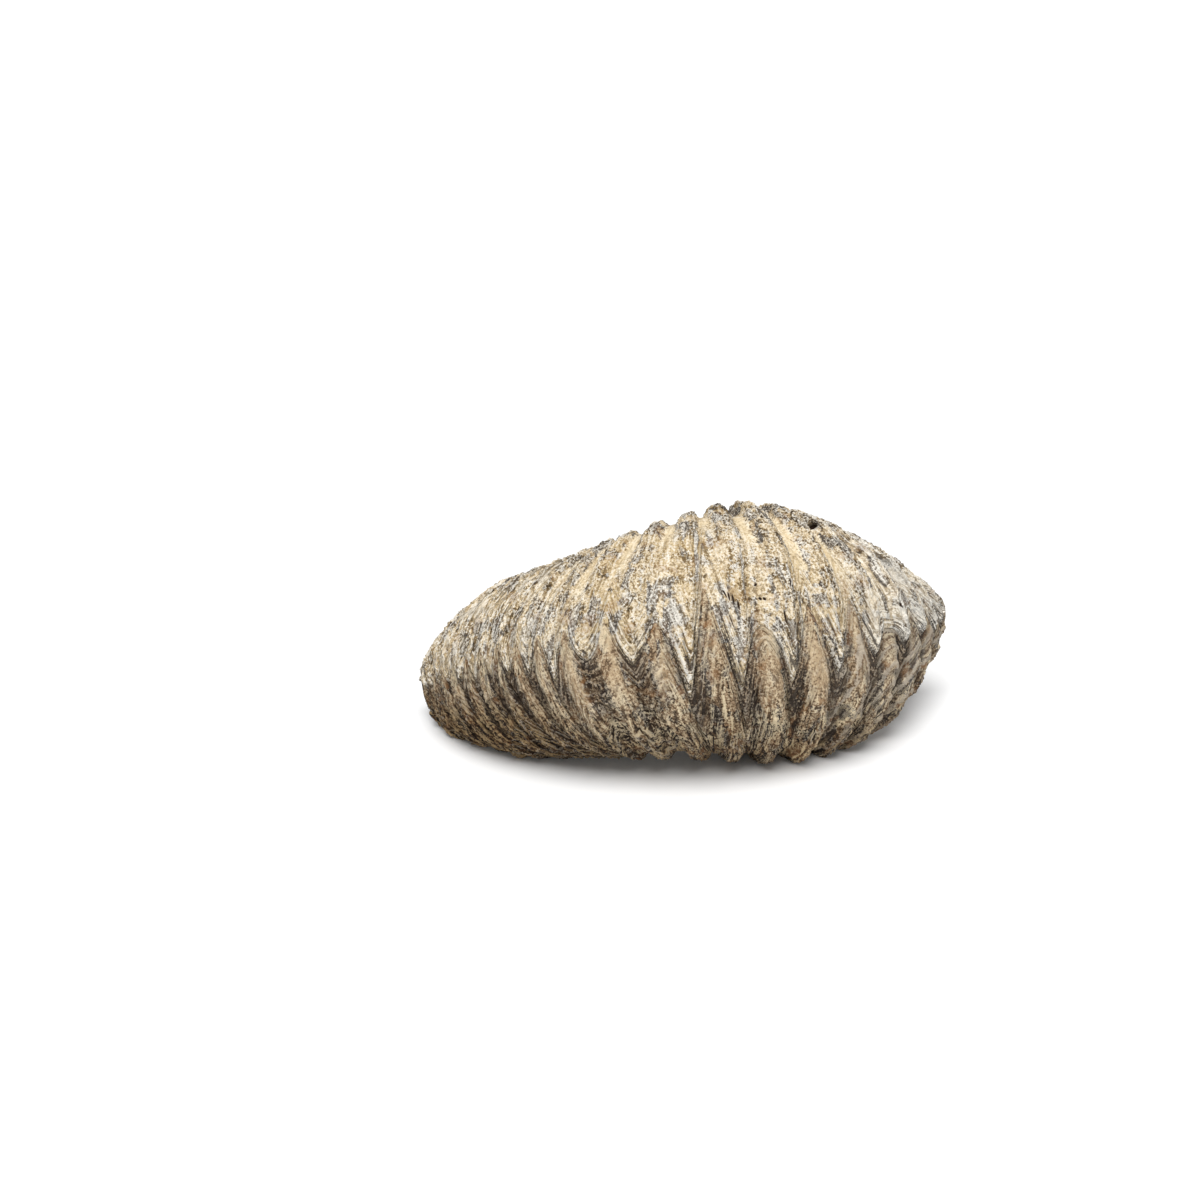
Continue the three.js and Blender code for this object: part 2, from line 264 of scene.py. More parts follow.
# %% [markdown]
# ## Lines through the stations
#
# The stations crowd towards the tips, where the shell rounds off. A Float Curve node can hold
# such a line, so each list is smoothed here in plain Python and handed to the tree as a drawn
# curve. The same functions place the ribs: they stand evenly over the middle and closer towards
# the ends, as a real shell adds narrower ribs where it grows narrower.

# %% Smooth lines and rib places
SAMPLES_PER_STATION = 8
COLUMN_SAMPLES = 160


def station_line(stations, place):
    """A smooth curve through equally spaced stations, at a place from 0 to 1."""
    at = place * (len(stations) - 1)
    i = min(int(at), len(stations) - 2)
    f = at - i
    here, after = stations[i], stations[i + 1]
    before = stations[i - 1] if i > 0 else 2 * here - after
    later = stations[i + 2] if i + 2 < len(stations) else 2 * after - here
    slope, next_slope = (after - before) / 2, (later - here) / 2
    bow = 3 * (after - here) - 2 * slope - next_slope
    twist = 2 * (here - after) + slope + next_slope
    return here + f * (slope + f * (bow + f * twist))


def line_samples(stations):
    count = SAMPLES_PER_STATION * (len(stations) - 1)
    return [station_line(stations, k / count) for k in range(count + 1)]


def soft_ramp(x):
    return SPACING_EASE * math.log1p(math.exp(x / SPACING_EASE))


def rib_angle(rib):
    """Angle of this rib on the outer margin, in degrees from the middle of the shell."""
    left = FINE_LEFT["saving"] * soft_ramp(FINE_LEFT["start"] - rib)
    right = FINE_RIGHT["saving"] * soft_ramp(rib - FINE_RIGHT["start"])
    return RIB_ANGLE * rib + left - right


def rib_at(angle):
    """The rib count at an angle, found by halving."""
    low, high = FIRST_RIB, LAST_RIB
    for _ in range(40):
        middle = (low + high) / 2
        if rib_angle(middle) < angle:
            low = middle
        else:
            high = middle
    return low


LEFTMOST = -rib_angle(FIRST_RIB)
RIGHTMOST = rib_angle(LAST_RIB)


def column_angle(share):
    """Columns stand closer at the tips, where the section shrinks quickly."""
    w = 2 * share - 1
    t = w * (1.25 - 0.25 * w * w)
    return t * (LEFTMOST if t < 0 else RIGHTMOST)


column_ribs = [rib_at(column_angle(k / COLUMN_SAMPLES)) for k in range(COLUMN_SAMPLES + 1)]
column_angles = [rib_angle(rib) for rib in column_ribs]
print("ribs run from angle", round(-LEFTMOST, 1), "to", round(RIGHTMOST, 1))

# %% [markdown]
# ## One tree for both valves
#
# The tree starts from a flat grid. Its columns run along the shell, and its rows run round the
# section: up the outer flank to the keel, down the inner flank, and back across the face where
# the valves meet. `Side` is 1 for the upper valve and -1 for the lower one. Every vertex gets a
# rib count and a section angle, and the rule turns the two into a place in space.

# %% The tree, its sizes and its grid
RING = OUTER_ROWS + INNER_ROWS + CONTACT_ROWS + 1
tree = bpy.data.node_groups.new("oyster_valve", "GeometryNodeTree")
tree.interface.new_socket("Geometry", in_out="OUTPUT", socket_type="NodeSocketGeometry")
tree_inputs = {}
for name, kind, value in [
    ("Side", "NodeSocketFloat", 1.0),
    ("Margin Radius", "NodeSocketFloat", MARGIN_RADIUS),
    ("Keel Radius", "NodeSocketFloat", KEEL_RADIUS),
    ("Inner Radius", "NodeSocketFloat", INNER_RADIUS),
    ("Valve Gap", "NodeSocketFloat", VALVE_GAP),
    ("Rib Relief", "NodeSocketFloat", 1.0),
    ("Wave Depth", "NodeSocketFloat", 0.2),
    ("Riblet Depth", "NodeSocketFloat", 0.2),
    ("Growth Step", "NodeSocketFloat", 0.1),
    ("Ring Depth", "NodeSocketFloat", 0.0),
    ("Roughness Depth", "NodeSocketFloat", 0.16),
    ("Seed", "NodeSocketFloat", 0.0),
    ("Finish", "NodeSocketMaterial", None),
]:
    made = tree.interface.new_socket(name, in_out="INPUT", socket_type=kind)
    if value is not None:
        made.default_value = value
    tree_inputs[name] = made.identifier
shell = Bench(tree)
given = tree.nodes.new("NodeGroupInput")
size = {name: Value(shell, given.outputs[name]) for name in tree_inputs}

grid = shell.node(
    "GeometryNodeMeshGrid",
    {"Size X": 1, "Size Y": 1, "Vertices X": COLUMNS, "Vertices Y": RING},
)
index = shell.node("GeometryNodeInputIndex")
column = shell.math("FLOOR", (index + 0.5) / RING)
row = index - column * RING
along_share = column / (COLUMNS - 1)
to_keel = shell.smaller(row / OUTER_ROWS, 1)
to_inner = shell.smaller(shell.larger((row - OUTER_ROWS) / INNER_ROWS, 0), 1)
across_contact = shell.larger((row - OUTER_ROWS - INNER_ROWS) / CONTACT_ROWS, 0)
outer_share = to_keel**ROW_CROWDING
side = size["Side"]
print("inputs of the tree:", ", ".join(tree_inputs))

# %% [markdown]
# ### The rib lines
#
# A rib line keeps its rib count while its angle changes: it leans away from its tooth on the way
# to the keel. The teeth across the middle are uneven on the real shell, leaning to one side and
# reaching past each other by different lengths, so two short curves hold how much each one
# differs from the rule.

# %% Rib lines and the zigzag
TIP_SNAP = 1.0005  # carries the last column exactly to the tip


def section_lines(angle):
    """Place along the shell and the lines read there."""
    t = angle * shell.between(TIP_SNAP / LEFTMOST, TIP_SNAP / RIGHTMOST, angle > 0)
    t = shell.smaller(shell.larger(t, -1), 1)
    place = shell.math("ARCSINE", t) / math.pi + 0.5
    return t, {
        "place": place,
        "top": shell.line(TOP_LINE, place),
        "bottom": shell.line(BOTTOM_LINE, place),
        "margin": shell.line(MARGIN_LINE, place),
    }


def cosine(turns):
    return shell.math("COSINE", turns * (2 * math.pi))


def zigzag(rib):
    peak = math.asin(TOOTH_SHARPNESS)
    return shell.math("ARCSINE", cosine(rib) * TOOTH_SHARPNESS) / peak


def section_angle(lines, rise, roundness):
    """Section angle where the smooth shell is this far above or below the middle line."""
    below = rise < 0
    height = shell.between(lines["top"] - lines["margin"], lines["margin"] - lines["bottom"], below)
    share = shell.smaller(abs(rise) / shell.larger(height, 1e-4), LONGEST_TOOTH)
    angle = shell.math("ARCSINE", share ** (1 / roundness))
    return angle * (1 - 2 * below), share * height * (1 - 2 * below)


rib = shell.curve(column_ribs, along_share)
rule_angle = shell.curve(column_angles, along_share)
middle_place = (rib - MIDDLE_FROM) / (MIDDLE_TO - MIDDLE_FROM)
rule_place = section_lines(rule_angle)[1]["place"]
lean = shell.line(TOOTH_LEAN, rule_place)
extra = shell.line(TOOTH_EXTRA, middle_place)
margin_angle = rule_angle + lean
t_margin, margin_lines = section_lines(margin_angle)
reach = shell.line(TOOTH_LENGTH, margin_lines["place"]) + extra
rise = -reach * zigzag(rib)
outer_phi, margin_rise = section_angle(margin_lines, rise, OUTER_ROUNDNESS)
inner_rise = -INNER_TOOTH_LENGTH * (1 - t_margin**INNER_TOOTH_FADE) * zigzag(2 * rib)
inner_phi, _ = section_angle(margin_lines, inner_rise, INNER_WALL_ROUNDNESS)
upper_sweep = shell.line(UPPER_SWEEP, margin_lines["place"])
lower_sweep = shell.line(LOWER_SWEEP, margin_lines["place"])
is_upper = side > 0
sweep = shell.between(lower_sweep, upper_sweep, is_upper)
print("nodes with the rib lines:", len(tree.nodes))

# %% [markdown]
# ### The section
#
# In section each valve is a rounded arch. A power of the sine a little below one makes the flank
# boxier than an ellipse, and a power of the cosine above one draws the keel to a sharper edge. The
# rib relief is pushed inwards from that arch later, so that the crests keep the overall size.

# %% The section
keel_phi = side * (math.pi / 2)
end_phi = side * math.pi - inner_phi
phi = outer_phi + (keel_phi - outer_phi) * outer_share + (end_phi - keel_phi) * to_inner
swept = sweep * outer_share**SWEEP_EASE * (1 - to_inner**INNER_SWEEP_FADE)
angle = rule_angle + lean * (1 - outer_share) ** LEAN_EASE + swept
t, lines = section_lines(angle)
rib_height = shell.line(RIB_HEIGHT, lines["place"])

sine = shell.math("SINE", phi)
cos_phi = shell.math("COSINE", phi)
is_outer = cos_phi > 0
tip_closing = abs(t)
margin_radius = size["Margin Radius"] + shell.line(MARGIN_SWELL, lines["place"])
keel_radius = shell.between(size["Keel Radius"], margin_radius, tip_closing**KEEL_CLOSING)
inner_radius = shell.between(size["Inner Radius"], margin_radius, tip_closing**INNER_CLOSING)
half_height = shell.between(lines["margin"] - lines["bottom"], lines["top"] - lines["margin"], sine > 0)
depth = shell.between(keel_radius - inner_radius, margin_radius - keel_radius, is_outer)
out_power = shell.between(INNER_KEEL_POWER, OUTER_KEEL_POWER, is_outer)
up_power = shell.between(INNER_WALL_ROUNDNESS, OUTER_ROUNDNESS, is_outer)
out = shell.math("SIGN", cos_phi) * abs(cos_phi) ** out_power
up = shell.math("SIGN", sine) * abs(sine) ** up_power
radius = keel_radius + depth * out
height = lines["margin"] + half_height * up
out_x = cos_phi * half_height
out_z = sine * depth
out_length = shell.larger(shell.math("SQRT", out_x * out_x + out_z * out_z), 1e-4)

print("nodes with the section:", len(tree.nodes))

# %% [markdown]
# ### The ribs on the section
#
# A rib is one wave of a cosine across the rib count, cut off at its foot so that the furrow is
# flat. The upper teeth and one patch of the flank are worn, the crests on the upper keel are broad,
# and past the keel every rib splits into two finer ones. Each change is a share from 0 to 1 that
# blends one height into the next, so nothing steps.

# %% The ribs on the section
keel_zone = is_upper * shell.ease(outer_share, *BROAD_CREST_SHARE)
crest_top = shell.between(RIB_CREST, KEEL_RIB_CREST, keel_zone)


def rib_profile(count):
    return shell.ease(0.5 + 0.5 * cosine(count), FURROW_FLOOR, crest_top)


quarter_rib = MARGIN_RADIUS * math.radians(RIB_ANGLE) / 4
steepness = 1 / shell.math("SQRT", 1 + (reach / quarter_rib) ** 2)
from_margin = shell.larger(side * (height - margin_lines["margin"] - margin_rise) * steepness, 0)
margin_rounding = shell.between(LOWER_MARGIN_ROUNDING, UPPER_MARGIN_ROUNDING, is_upper)
edge = 1 - shell.math("EXPONENT", -((from_margin / margin_rounding) ** 2))
inner_edge = 1 - to_inner**INNER_RIB_FADE
half_step = 0.5 * (1 - is_upper)
crest = rib_profile(rib + half_step)
inner_crest = rib_profile(2 * rib + half_step)
inner_height = shell.smaller(rib_height, INNER_RIB_HEIGHT)
past_keel = shell.ease(to_inner, *INNER_FLANK_SHARE)
worn_teeth = 1 - is_upper * TOOTH_WEAR * (1 - shell.ease(outer_share, *WORN_TEETH_SHARE))
relief_height = shell.between(rib_height, inner_height, past_keel) * size["Rib Relief"]
keel_crest = shell.ease(outer_share, *KEEL_CHANGE_SHARE) * (1 - past_keel) * is_upper
right_half = shell.ease(rib, *KEEL_CHANGE_RIBS)
keel_gain = shell.between(KEEL_RIB_CHANGE["left"], KEEL_RIB_CHANGE["right"], right_half)
relief_height = relief_height * (worn_teeth + keel_crest * keel_gain)
patch_aside = (rib - WORN_PATCH["rib"]) / WORN_PATCH["ribs"]
patch_along = (outer_share - WORN_PATCH["share"]) / WORN_PATCH["shares"]
worn_patch = shell.math("EXPONENT", -(patch_aside**2 + patch_along**2)) * is_upper * (to_inner < 0.001)
relief_height = relief_height * (1 - WORN_PATCH["wear"] * worn_patch)
margin_relief = -(1 - TOOTH_WEAR) * rib_height * size["Rib Relief"]
outer_relief = shell.between(margin_relief, relief_height * (crest - 1), edge)
inner_relief = shell.between(-relief_height, relief_height * (inner_crest - 1), inner_edge)
relief = shell.between(outer_relief, inner_relief, past_keel)

bend = shell.math("RADIANS", t * shell.between(LEFT_END, RIGHT_END, t > 0))
final_radius = radius + relief * out_x / out_length
at_tip = abs(along_share * 2 - 1) > 0.9999
on_margin = shell.larger(row < 0.5, (abs(row - OUTER_ROWS - INNER_ROWS)) < 0.5)
on_margin = shell.larger(on_margin, at_tip)
final_height = height + relief * out_z / out_length + on_margin * side * size["Valve Gap"] / 2
bent_x = final_radius * shell.math("SINE", bend)
bent_y = -final_radius * shell.math("COSINE", bend)
bent = shell.vector(bent_x, bent_y, final_height)
print("nodes with the ribs:", len(tree.nodes))

# %% [markdown]
# ### Attributes for the finish
#
# Colour follows growth on a shell, so the finish has to know where it is. The tree stores a few
# numbers on every vertex: the rib count, the distance from the margin along the rib, how far the
# edge is, and whether it is on the inner flank or worn. The materials read them by name.

# %% Store the growth coordinates
GROWTH_SPAN = 38  # from margin to keel over the middle, along the surface
INNER_SPAN = 22
on_flank = 1 - across_contact
growth = (outer_share * GROWTH_SPAN + to_inner * INNER_SPAN) * on_flank


def store(geometry, **values):
    """Stores each value on every vertex, under its name."""
    settings = {"data_type": "FLOAT", "domain": "POINT"}
    for name, value in values.items():
        sockets = {"Geometry": geometry, "Name": name, "Value": value}
        geometry = shell.node("GeometryNodeStoreNamedAttribute", sockets, **settings)
    return geometry


def read(name):
    return shell.node("GeometryNodeInputNamedAttribute", {"Name": name}, data_type="FLOAT")


inside = to_inner * on_flank
worn_share = worn_patch * on_flank
body = store(grid, rib=rib, growth=growth, from_edge=from_margin, inside=inside, worn=worn_share)
body = shell.node("GeometryNodeSetPosition", {"Geometry": body, "Position": bent})
body = shell.node("GeometryNodeFlipFaces", {"Mesh": body, "Selection": side < 0})
print("margin to keel:", GROWTH_SPAN, "mm, keel to inner margin:", INNER_SPAN, "mm")

# %% [markdown]
# ### Surface relief
#
# The ribs alone would look moulded. A real valve waves a little from rib to rib, carries fine
# riblets along its ribs and low uneven steps where each growth layer ends, and has a rough crust
# over the rib tops, while hardened sediment leaves the floors of the furrows smooth. All of it is
# pushed along the normal, and all of it fades at the margins, where the valves meet.

# %% Push out waves, riblets, growth steps and crust
RIB_TO_MM = 8.5  # width of a rib half way up the flank
WAVE_LENGTH = 13  # these are in mm too
DRIFT_LENGTH = 6
PATCH_LENGTH = 8
RIBLET_WIDTH = 1.35
RIBLET_LENGTH = 9
STEP_SPACING = 1.5
CRUST_GRAIN = 1.1
RING_SPACING = 3.7
RINGED_RIBS = (1.8, 3.4)  # the rings come in over these ribs, and go on to the right tip
TIP_SHARE = 0.03  # share of the half length over which the relief fades out to a tip
position = shell.node("GeometryNodeInputPosition")
normal = shell.node("GeometryNodeInputNormal")
sample_at = shell.shift(position, shell.vector(size["Seed"]))
wave = shell.swing(sample_at, WAVE_LENGTH, Detail=1.0)
drift = shell.swing(sample_at, DRIFT_LENGTH)
patches = shell.noise(sample_at, PATCH_LENGTH, Detail=1.0)
rib_now, grown, edge_now = read("rib"), read("growth"), read("from_edge")

across_ribs = rib_now * RIB_TO_MM + 0.5 * drift
riblet_at = shell.vector(across_ribs / RIBLET_WIDTH, grown / RIBLET_LENGTH, size["Seed"])
riblet = shell.swing(riblet_at, 1, Detail=3.0, Roughness=0.6)

layer_bow = cosine(rib_now) * (grown / GROWTH_SPAN) ** 2
layer = grown + 1.3 * layer_bow + 0.8 * drift
phase = (layer / STEP_SPACING) * (2 * math.pi)
step = shell.math("SINE", phase + 0.6 * shell.math("SINE", phase))
step_patches = shell.ease(patches, 0.42, 0.62)

crust_noise = shell.swing(sample_at, CRUST_GRAIN, Detail=3.0, Roughness=0.7)
fine_left = shell.ease(-rib_now, 2.0, 6.0)
floor_now = shell.ease(-cosine(rib_now), -0.1, 0.7) * (1 - fine_left)
floor_now = floor_now * shell.between(shell.ease(-grown, -20, -12), 1, side > 0)
fade_outer = shell.ease(edge_now, 0.0, 1.0)
fade_inner = 1 - read("inside") ** 4
fade_tip = shell.ease(1 - abs(along_share * 2 - 1), 0.0, TIP_SHARE)
fade = fade_outer * fade_inner * fade_tip
ringed = shell.ease(rib_now, *RINGED_RIBS)
ring = (0.5 + 0.5 * cosine(edge_now / RING_SPACING + 0.15 * drift)) ** 2 * ringed
push = fade * (
    size["Wave Depth"] * wave
    + size["Ring Depth"] * ring
    + size["Riblet Depth"] * riblet * (1 + 0.5 * fine_left) * (1 - 0.75 * floor_now)
    + size["Growth Step"] * step * step_patches * (1 - 0.5 * floor_now)
    + size["Roughness Depth"] * crust_noise * (1 - 0.85 * floor_now)
)
print("waves", WAVE_LENGTH, "mm, riblets", RIBLET_WIDTH, "mm, growth steps", STEP_SPACING, "mm")

# %% [markdown]
# ### Borings and cracks
#
# Sponges and worms bored into the shell while it lay on the sea bed, and one boring on the upper
# keel is wide enough to look into. Each mark is given by its rib count, its growth distance and
# its size, so that it stays on the same rib if the shell's sizes change. A short crack is a row
# of small marks.

# %% Push in the borings
UPPER_BORINGS = [  # rib, growth, half width, half length and depth in mm
    (3.68, 25.2, 1.05, 1.5, 1.6),
    (1.45, 7.1, 0.28, 0.28, 0.5),
    (1.52, 4.4, 0.3, 0.3, 0.5),
    (1.6, 4.7, 0.26, 0.26, 0.5),
    (2.06, 12.1, 0.26, 0.3, 0.4),
    (0.84, 5.5, 0.25, 0.25, 0.4),
    (1.89, 6.0, 0.17, 0.7, 0.4),
    (0.77, 7.7, 0.25, 0.3, 0.3),
    (0.82, 8.5, 0.14, 0.6, 0.25),
    (0.87, 9.5, 0.14, 0.6, 0.25),
    (0.94, 10.4, 0.14, 0.5, 0.25),
    (5.05, 6.2, 0.25, 0.8, 0.5),
]
LOWER_BORINGS = [(1.15, 7.4, 0.3, 0.35, 0.5), (1.01, 8.9, 0.2, 0.2, 0.4)]


def boring_marks(bench, rib, growth, borings):
    """How far inside a boring a point is, from 0 to 1, and how deep it is bored away."""
    share, total = 0, 0
    for at_rib, at_growth, half_width, half_length, depth in borings:
        aside = (rib - at_rib) * (RIB_TO_MM / half_width)
        ahead = (growth - at_growth) / half_length
        inside_it = 1 - bench.ease(aside * aside + ahead * ahead, 0.4, 1.6)
        share = bench.larger(inside_it, share)
        total = inside_it * depth + total
    return share, total


_, upper_depth = boring_marks(shell, rib_now, grown, UPPER_BORINGS)
_, lower_depth = boring_marks(shell, rib_now, grown, LOWER_BORINGS)
boring = shell.between(lower_depth, upper_depth, side > 0) * (read("inside") < 0.001)

body = store(body, crust=crust_noise, riblet=riblet, ring=ring)
push = push - fade_outer * boring
offset = shell.node("ShaderNodeVectorMath", {0: normal, "Scale": push}, operation="SCALE")
body = shell.node("GeometryNodeSetPosition", {"Geometry": body, "Offset": offset})
print("borings:", len(UPPER_BORINGS), "upper and", len(LOWER_BORINGS), "lower")

# %% [markdown]
# ### Closing the valve and laying it down
#
# The rows across the contact face take their places from the two margins of their own column.
# Then the valve is scaled to metres and turned to the way the shell lies, the lowest rib crests
# are worn flat where they touch the ground, and the seam and the two tips are merged.

# %% Close, lay down, wear and merge
def margin_point(ring_row):
    return shell.node(
        "GeometryNodeSampleIndex",
        {"Geometry": body, "Value": position, "Index": column * RING + ring_row},
        data_type="FLOAT_VECTOR",
    )


contact_point = shell.node(
    "ShaderNodeMix",
    {0: across_contact, 4: margin_point(OUTER_ROWS + INNER_ROWS), 5: margin_point(0)},
    outs=1,
    data_type="VECTOR",
)
body = shell.node(
    "GeometryNodeSetPosition",
    {"Geometry": body, "Selection": across_contact > 0.001, "Position": contact_point},
)
body = shell.node(
    "GeometryNodeTransform",
    {
        "Geometry": body,
        "Translation": [0.001 * x for x in REST_SHIFT],
        "Rotation": [math.radians(x) for x in REST_TURN],
        "Scale": [0.001] * 3,
    },
)
x, y, z = shell.node("ShaderNodeSeparateXYZ", {0: position}, outs=("X", "Y", "Z"))
worn = shell.vector(x, y, shell.larger(z, 0))
body = shell.node("GeometryNodeSetPosition", {"Geometry": body, "Position": worn})
body = shell.node("GeometryNodeMergeByDistance", {"Geometry": body, "Distance": MERGE_DISTANCE})
body = shell.node("GeometryNodeSetShadeSmooth", {"Geometry": body})
body = shell.node("GeometryNodeRealizeInstances", {"Geometry": body})
body = shell.node("GeometryNodeSetMaterial", {"Geometry": body, "Material": size["Finish"]})
finished = tree.nodes.new("NodeGroupOutput")
shell.plug(body, finished.inputs["Geometry"])
print("nodes in the valve's tree:", len(tree.nodes))

# %% [markdown]
# ## The finish
#
# A fossil oyster is calcite with the sea bed still on it. The rib tops are rough: pale grains and
# dark pits a fraction of a millimetre wide, drawn out along the riblets at the narrow end and
# along the growth layers near the margin. Smooth cream sediment fills the furrows of the upper
# valve, and a browner film lies on the teeth of the lower one. Grey shell shows through between
# the two. The finish is mixed from those parts by the growth coordinates stored on the mesh, so
# every colour follows the ribs round to the back.

# %% Helpers for a material
def paint(code):
    """A colour written as on a paint chart, as the linear values that Blender mixes."""
    parts = [int(code[i : i + 2], 16) / 255 for i in (1, 3, 5)]
    linear = [c / 12.92 if c <= 0.04045 else ((c + 0.055) / 1.055) ** 2.4 for c in parts]
    return (*linear, 1)


class Finish(Bench):
    """A bench with the few extra nodes that a material needs."""

    def __init__(self, name):
        self.material = bpy.data.materials.new(name)
        self.material.use_nodes = True
        super().__init__(self.material.node_tree)
        self.shader = self.tree.nodes["Principled BSDF"]

    def attribute(self, name):
        return self.node("ShaderNodeAttribute", outs="Fac", attribute_name=name)

    def object_mm(self, shift):
        there = self.node("ShaderNodeTexCoord", outs="Object")
        scaled = self.node("ShaderNodeVectorMath", {0: there, "Scale": 1000}, operation="SCALE")
        return self.shift(scaled, (shift, 0, 0))

    def drawn(self, across, along, size, layer, **sockets):
        """Noise drawn out to this size in mm across and along, in a layer of its own."""
        place = self.vector(across / size[0], along / size[1], layer)
        return self.swing(place, 1, **sockets)

    def mix(self, share, below, above, blend_type="MIX"):
        sockets = {0: share, 6: below, 7: above}
        settings = {"data_type": "RGBA", "blend_type": blend_type}
        return self.node("ShaderNodeMix", sockets, outs=2, **settings)


print("white paint is", [round(part, 2) for part in paint("#FFFFFF")])

# %% [markdown]
# ### The colours
#
# Each valve has a small palette: the upper one is pale and creamy, the lower one brown. The lower one
# is also darker than the shell's own brown, as painted shade for the valve that faces down. Colours
# that serve both are listed once, and where a valve names its own colour, that one is used. A few
# colours laid in many thin, broken layers look more like stone than many colours laid once.

# %% The colours of the two valves
PALE = {
    "ground": "#DDCAA8",
    "second ground": "#CDB78F",
    "brown": "#9A7F55",
    "pit": "#3B2D1B",
    "grain": "#FBF5E9",
    "smooth": "#E3D1AE",
    "smooth shade": "#C0A87E",
    "rim": "#F6F2E8",
    "weathered": "#E9E1D1",
}
# Darker partly for the lower valve's own browner tone and partly as painted shade, since it faces
# downwards.
BROWN_AND_SHADED = {
    "ground": "#A0876A",
    "second ground": "#876C4E",
    "brown": "#654A2E",
    "pit": "#24170C",
    "grain": "#E8D8B8",
    "smooth": "#B79F7E",
    "smooth shade": "#8A7256",
    "rim": "#B5AA9A",
    "weathered": "#877A69",
    "glint": "#F0DFBC",
    "dark grey": "#4A4139",
    "painted shade": "#40342A",
}
SHARED = {
    "grey": "#9EA1A4",
    "dark grey": "#4C4A4A",
    "rust": "#8A5F34",
    "boring": "#2E1C0F",
    # Painted shade, multiplied over the lower valve towards its underside.
    "underside shade": "#B7A68E",
    "scar": "#CFCCC4",
}
print("colours:", len(PALE), "pale,", len(BROWN_AND_SHADED), "brown and", len(SHARED), "shared")

# %% [markdown]
# ### Grains and streaks
#
# Weathered shell is pitted at several sizes at once. Round blobs alone would look like granite, so
# most noises are drawn out: along the riblets where the shell is narrow, and along the growth
# layers near the margin. All are made here once, and the later layers share them, so that a
# pale grain, a dark pit and the bump under them fall in the same place.

# %% Grains and streaks
GRAIN_SIZE = 0.52  # sizes in mm; a pair is across the ribs, then along them
PATCH_SIZE = 3.2
DRIFT_SIZE = 11
RIBLET_SIZE = (0.95, 13)
LAYER_SIZE = (4, 0.6)  # along the margin, then away from it
GROWTH_LINE_SIZE = (3.5, 1.1)
STREAK_SIZE = (1.3, 12)
FLECK_SIZE = (0.7, 1.3)
GRAIN_STRENGTH = 1.85


def shell_grains(m, upper):
    """The growth coordinates, and the grains and streaks that lie along them."""
    s = SimpleNamespace(at=m.object_mm(0 if upper else LOWER_SEED))
    s.rib, s.grown, s.edge = [m.attribute(name) for name in ("rib", "growth", "from_edge")]
    s.whole = 0.5 + 0.5 * m.math("COSINE", s.rib * (2 * math.pi))
    s.fine_left = m.ease(-s.rib, 1.5, 6.0)
    s.right_end = m.ease(s.rib, 2.8, 5.5)

    s.slow = m.swing(s.at, DRIFT_SIZE, Detail=1.0)
    s.middling = m.swing(s.at, PATCH_SIZE, Detail=2.0)
    s.even = m.swing(s.at, GRAIN_SIZE, Detail=2.0, Roughness=0.7)
    s.across = s.rib * RIB_TO_MM + 0.4 * s.slow
    s.along = m.drawn(s.across, s.grown, RIBLET_SIZE, 0, Detail=3.0, Roughness=0.75)
    s.layered = m.drawn(s.across, s.edge, LAYER_SIZE, 3, Detail=4.0, Roughness=0.7)
    s.growth_line = m.drawn(s.across, s.grown, GROWTH_LINE_SIZE, 5, Detail=3.0, Roughness=0.7)
    s.streak = m.drawn(s.across, s.grown, STREAK_SIZE, 7, Detail=2.0)
    s.flecks = m.drawn(s.across, s.grown, FLECK_SIZE, 15, Detail=2.0, Roughness=0.6)
    s.worn = m.ease(m.attribute("worn") + 0.35 * s.middling + 0.2 * s.streak, 0.05, 0.9)

    near_edge = m.ease(-s.edge + 3 * s.right_end, -7, -2)
    drawn_out = m.between(s.along, s.layered, near_edge * (1 - 0.7 * s.fine_left))
    stretch = 0.3 + 0.3 * s.fine_left + 0.1 * near_edge + 0.2 * s.right_end
    stretch = stretch + 0.2 * m.ease(s.slow, 0, 0.8)
    relief = 0.2 * m.attribute("crust") + 0.3 * m.attribute("riblet")
    grain = GRAIN_STRENGTH * m.between(s.even, drawn_out, stretch) + relief
    crowding = 0.5 * m.ease(s.grown, 14, 28) * s.whole
    s.mottle = m.ease(s.middling + 0.6 * s.streak + crowding, -0.3, 0.8)
    contrast = 0.7 + 0.9 * s.mottle + 0.3 * s.fine_left + 0.2 * s.right_end
    s.grain = grain * contrast * (1 - 0.3 * s.worn)
    return s


print("smallest grain", GRAIN_SIZE, "mm, largest patch", DRIFT_SIZE, "mm")

# %% [markdown]
# ### Sediment in the furrows
#
# Mud hardened in the furrows of the upper valve and on the teeth of the lower one, more in some
# than in others. A short list says how much lies at each rib, and a second one how far it goes, so
# single furrows can be filled or left empty. Its border is broken up with noise.

# %% Where sediment lies
SEDIMENT_FROM = -5
SEDIMENT_TO = 7
UPPER_SEDIMENT = [0.1, 0.4, 0.7, 0.9, 1, 1, 1, 0.9, 1, 0.7, 0.5, 0.2, 0]
LOWER_SEDIMENT = [0.1, 0.3, 0.6, 0.9, 0.8, 0.5, 0.3, 0.9, 0.8, 0.35, 0.3, 0.2, 0.1]
# How far from the margin it starts in the upper furrows and stops on the lower teeth, in mm.
UPPER_SEDIMENT_START = [8, 8, 10, 12, 20, 23, 21, 13, 7, 8, 12, 14, 14]
LOWER_SEDIMENT_STOP = [11, 11, 12, 12, 10, 9, 10, 14, 13, 9, 8, 7, 6]


